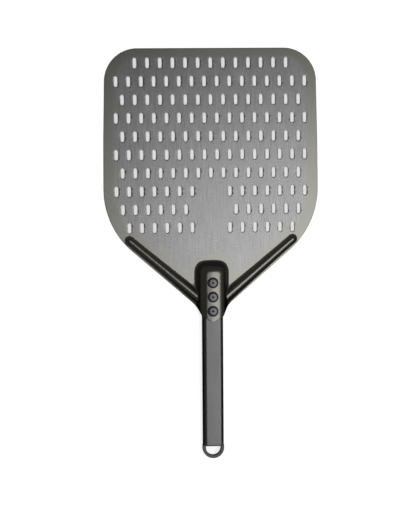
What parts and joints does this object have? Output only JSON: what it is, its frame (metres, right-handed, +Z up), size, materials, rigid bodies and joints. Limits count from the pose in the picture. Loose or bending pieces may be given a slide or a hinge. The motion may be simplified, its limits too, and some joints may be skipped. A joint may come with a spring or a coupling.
{
  "type": "pizza peel",
  "caption": "Perforated aluminium pizza peel with a pressed, ribbed blade riveted over a short oval tube handle that ends in a plastic hanging loop.",
  "frame": {"origin": "on the surface that the peel lies on, under the middle of its whole length and width", "axes": "+X across the blade, +Y along the handle towards the blade's front edge, +Z up out of the loading face"},
  "size_m": [0.3074, 0.586, 0.0186],
  "materials": {
    "blade_aluminium": "grey hard-anodised sheet, brushed lengthwise on the loading face",
    "tube_anodised": "fine matt dark-grey anodised",
    "black_plastic": "satin moulded",
    "rivet_aluminium": "dark-grey anodised",
    "mandrel_steel": "broken end, dull"
  },
  "bodies": {
    "root": {"blade": "blade_aluminium", "handle_tube": "tube_anodised", "tube_front_plug": "black_plastic", "hang_cap": "black_plastic", "rivet_body_front": "rivet_aluminium", "rivet_body_middle": "rivet_aluminium", "rivet_body_rear": "rivet_aluminium", "rivet_mandrel_front": "mandrel_steel", "rivet_mandrel_middle": "mandrel_steel", "rivet_mandrel_rear": "mandrel_steel"}
  },
  "joints": []
}
